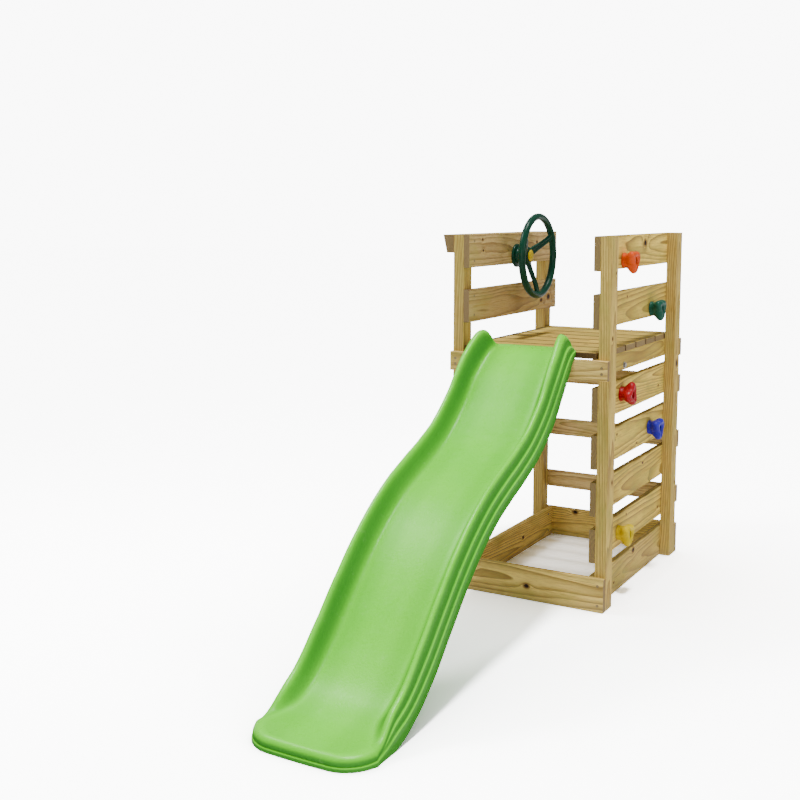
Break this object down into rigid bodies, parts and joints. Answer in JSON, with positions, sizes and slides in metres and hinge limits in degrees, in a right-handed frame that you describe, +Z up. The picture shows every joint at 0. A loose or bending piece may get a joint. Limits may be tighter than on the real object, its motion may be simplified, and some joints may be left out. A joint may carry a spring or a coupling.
{
  "type": "timber play tower with climbing wall, slide and steering wheel",
  "caption": "Small timber play tower with a board climbing wall, moulded holds, a wavy slide, a back ladder and a steering wheel.",
  "frame": {"origin": "on the ground at the middle of the object's bounding box", "axes": "+Z up; +Y from the slide's foot towards the ladder at the back; +X towards the climbing wall"},
  "size_m": [0.647, 2.246, 1.366],
  "materials": {
    "pine": "planed, green-brown pressure-treated pine",
    "lime_plastic": "satin moulded polyethylene",
    "orange_plastic": "moulded, slightly rough",
    "green_plastic": "moulded, slightly rough",
    "red_plastic": "moulded, slightly rough",
    "blue_plastic": "moulded, slightly rough",
    "yellow_plastic": "moulded, slightly rough",
    "wheel_green": "glossy moulding",
    "zinc_steel": "zinc plated"
  },
  "bodies": {
    "tower": {"post_front_left": "pine", "post_front_right": "pine", "post_back_left": "pine", "post_back_right": "pine", "climb_board_1": "pine", "climb_board_2": "pine", "climb_board_3": "pine", "climb_board_4": "pine", "climb_board_5": "pine", "climb_board_6": "pine", "rail_left_top": "pine", "rail_left_lower": "pine", "joist_left": "pine", "joist_right": "pine", "sandpit_board_right": "pine", "sandpit_board_left": "pine", "sandpit_board_front": "pine", "sandpit_board_back": "pine", "front_fascia": "pine", "deck_back_board": "pine", "ladder_rung_1": "pine", "ladder_rung_2": "pine", "ladder_rung_3": "pine", "deck_slat_1": "pine", "deck_slat_2": "pine", "deck_slat_3": "pine", "deck_slat_4": "pine", "deck_slat_5": "pine", "deck_slat_6": "pine", "deck_front_strip": "pine", "deck_back_strip": "pine", "swing_frame_beam": "pine", "slide": "lime_plastic", "slide_bolts": "zinc_steel", "slide_washers": "zinc_steel", "slide_nuts": "zinc_steel", "climbing_hold_orange": "orange_plastic", "climbing_hold_green": "green_plastic", "climbing_hold_red": "red_plastic", "climbing_hold_blue": "blue_plastic", "climbing_hold_yellow": "yellow_plastic", "hold_bolts": "zinc_steel", "hold_washers": "zinc_steel", "hold_nuts": "zinc_steel", "wheel_base": "wheel_green", "wheel_axle_bolt": "zinc_steel", "wheel_keeper_washer": "zinc_steel", "wheel_axle_nut": "zinc_steel", "joist_bolts": "zinc_steel", "joist_washers": "zinc_steel", "joist_nuts": "zinc_steel", "screws_climbing_wall": "zinc_steel", "screws_left_side": "zinc_steel", "screws_front": "zinc_steel", "screws_back": "zinc_steel", "screws_deck": "zinc_steel", "screws_swing_beam": "zinc_steel"},
    "wheel": {"steering_wheel": "wheel_green", "wheel_cap": "yellow_plastic"}
  },
  "joints": [
    {"name": "wheel_spin", "type": "hinge", "parent": "tower", "child": "wheel", "pos_m": [-0.1275, 0.697, 1.203], "axis": [1, 0, 0], "continuous": true}
  ]
}
